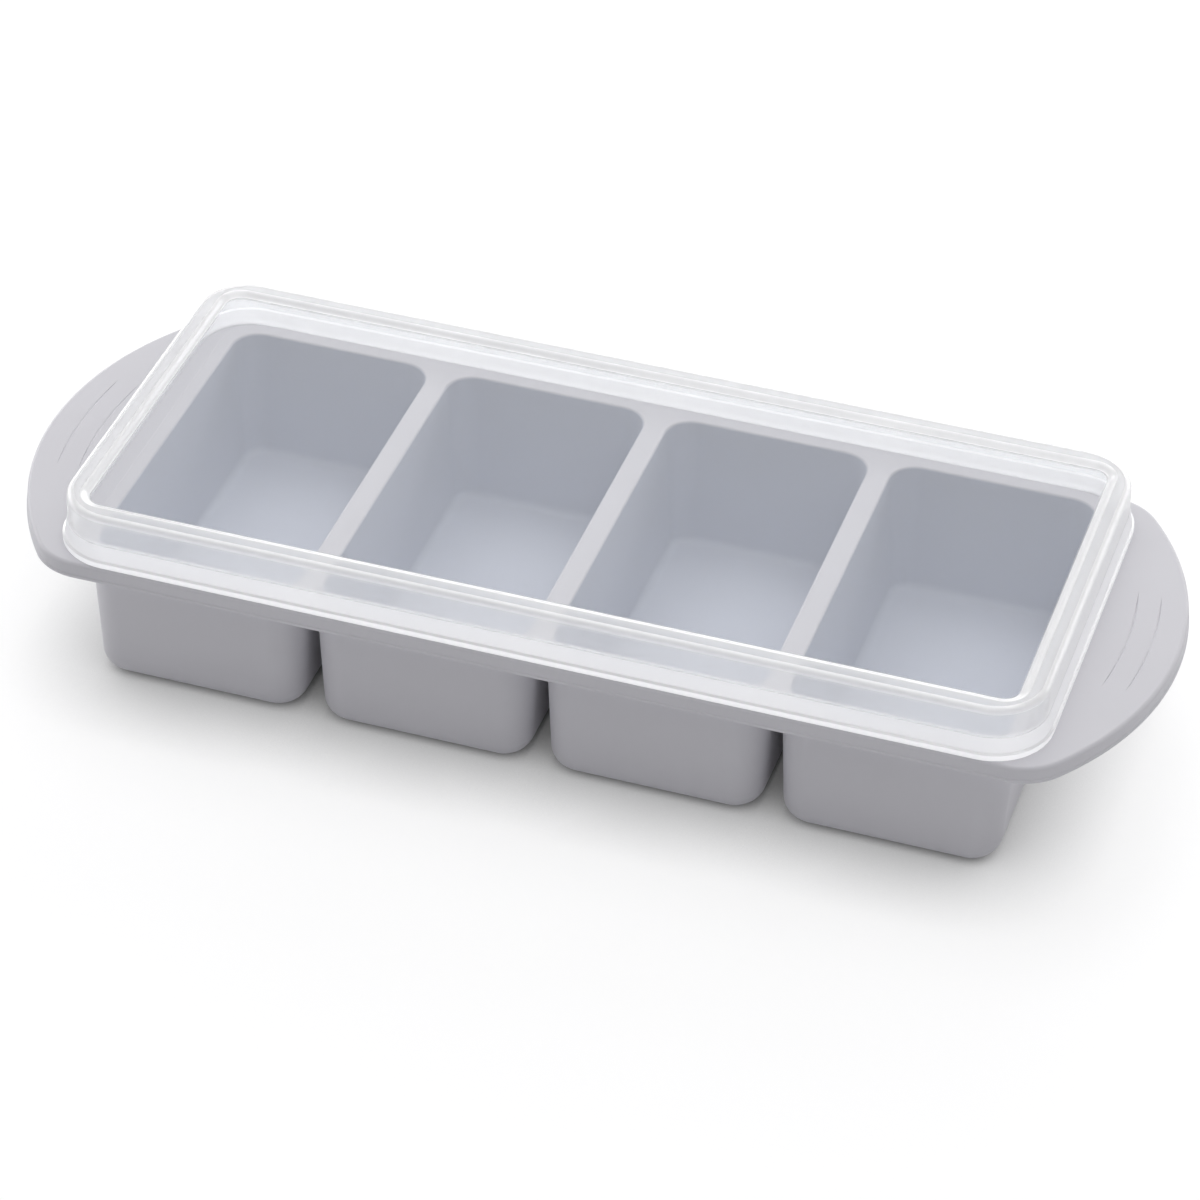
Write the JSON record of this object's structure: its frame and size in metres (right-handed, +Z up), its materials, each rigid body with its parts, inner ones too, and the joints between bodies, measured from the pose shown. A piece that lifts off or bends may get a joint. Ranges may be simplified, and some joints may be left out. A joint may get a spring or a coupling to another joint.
{
  "type": "baby food freezer tray",
  "caption": "Silicone freezer tray with deep rectangular cells in a row, crescent end handles with grip grooves, and a clear lift-off plastic lid.",
  "frame": {"origin": "middle of the tray on the surface that the four pods stand on", "axes": "+X along the row of cells, +Y across it, +Z up"},
  "size_m": [0.334, 0.1292, 0.059],
  "materials": {
    "silicone": "pale cool grey platinum silicone, fine satin matt",
    "frame_steel": "flat stainless strip, bent and welded to a loop, moulded in",
    "clear_plastic": "natural polypropylene, glossy, slightly milky"
  },
  "bodies": {
    "tray_body": {"tray": "silicone", "rim_frame": "frame_steel"},
    "lid_body": {"lid": "clear_plastic"}
  },
  "joints": [
    {"name": "lid_lift", "type": "slide", "parent": "tray_body", "child": "lid_body", "axis": [0, 0, 1], "range_m": [0, 0.07]}
  ]
}
